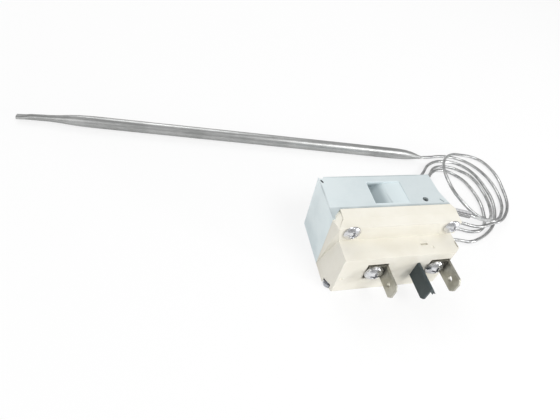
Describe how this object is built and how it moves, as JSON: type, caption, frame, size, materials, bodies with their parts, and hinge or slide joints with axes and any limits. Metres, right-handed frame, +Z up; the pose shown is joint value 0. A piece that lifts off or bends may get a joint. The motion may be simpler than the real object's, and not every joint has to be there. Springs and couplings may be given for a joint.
{
  "type": "capillary_thermostat",
  "caption": "Capillary thermostat: folded zinc-plated housing, cream terminal base with two tabs, rear spindle, coiled capillary and long sensing bulb",
  "frame": {"origin": "middle of the body's footprint on its flat foot, cord and bulb left out", "axes": "+Y towards the mounting face and the spindle, -Y towards the tab terminals, +X towards the capillary's exit, +Z up"},
  "size_m": [0.1943, 0.0959, 0.0226],
  "materials": {
    "zinc_sheet": "zinc plated, pale bluish, satin",
    "cream_moulding": "moulded thermoset, slightly glossy",
    "bright_screw": "bright zinc",
    "dark_steel": "blackened, oiled",
    "terminal_metal": "tarnished, satin",
    "insulating_strip": "matt, slightly fibrous",
    "turned_brass": "turned",
    "spindle_steel": "turned",
    "spring_steel": "hardened",
    "diaphragm_steel": "pressed, bright",
    "pin_ceramic": "ground",
    "guide_laminate": "pressed laminate",
    "blade_bronze": "rolled spring strip",
    "contact_silver": "silver, satin",
    "sleeve_braid": "woven sleeve",
    "capillary_metal": "drawn",
    "bulb_metal": "drawn, matt"
  },
  "bodies": {
    "frame": {"housing": "zinc_sheet", "base": "cream_moulding", "base_screws": "bright_screw", "corner_screw": "dark_steel", "terminal_left": "terminal_metal", "terminal_right": "terminal_metal", "terminal_screws": "bright_screw", "terminal_washers": "bright_screw", "barrier": "insulating_strip", "bush": "turned_brass", "range_spring": "spring_steel", "bridge": "zinc_sheet", "diaphragm": "diaphragm_steel", "guide_plate": "guide_laminate", "fixed_contact": "contact_silver", "contact_carrier": "terminal_metal", "blade_post": "terminal_metal", "capillary_feed": "capillary_metal", "exit_grommet": "dark_steel", "capillary_sleeve": "sleeve_braid", "capillary_lead": "capillary_metal", "capillary_coil": "capillary_metal", "capillary_tail": "capillary_metal", "bulb": "bulb_metal"},
    "spindle": {"spindle": "spindle_steel", "spindle_clip": "dark_steel"},
    "nut": {"travelling_nut": "turned_brass"},
    "pin": {"push_pin": "pin_ceramic"},
    "blade": {"contact_blade": "blade_bronze", "moving_contact": "contact_silver"}
  },
  "joints": [
    {"name": "spindle_turn", "type": "hinge", "parent": "frame", "child": "spindle", "pos_m": [-0.00125, 0.0138, 0.01], "axis": [0, 1, 0], "range_deg": [0, 300]},
    {"name": "nut_travel", "type": "slide", "parent": "frame", "child": "nut", "axis": [0, 1, 0], "range_m": [0, 0.0007]},
    {"name": "pin_push", "type": "slide", "parent": "frame", "child": "pin", "axis": [0, -1, 0], "range_m": [0, 0.0005], "stiffness_N_per_m": 400},
    {"name": "blade_swing", "type": "hinge", "parent": "frame", "child": "blade", "pos_m": [-0.00825, -0.00795, 0.0098], "axis": [0, 0, -1], "range_deg": [0, 4.1]}
  ],
  "couplings": [
    {"joint": "nut_travel", "follows": "spindle_turn", "m_per_rad": 0.00012732},
    {"joint": "blade_swing", "follows": "pin_push", "rad_per_m": 142.86}
  ]
}
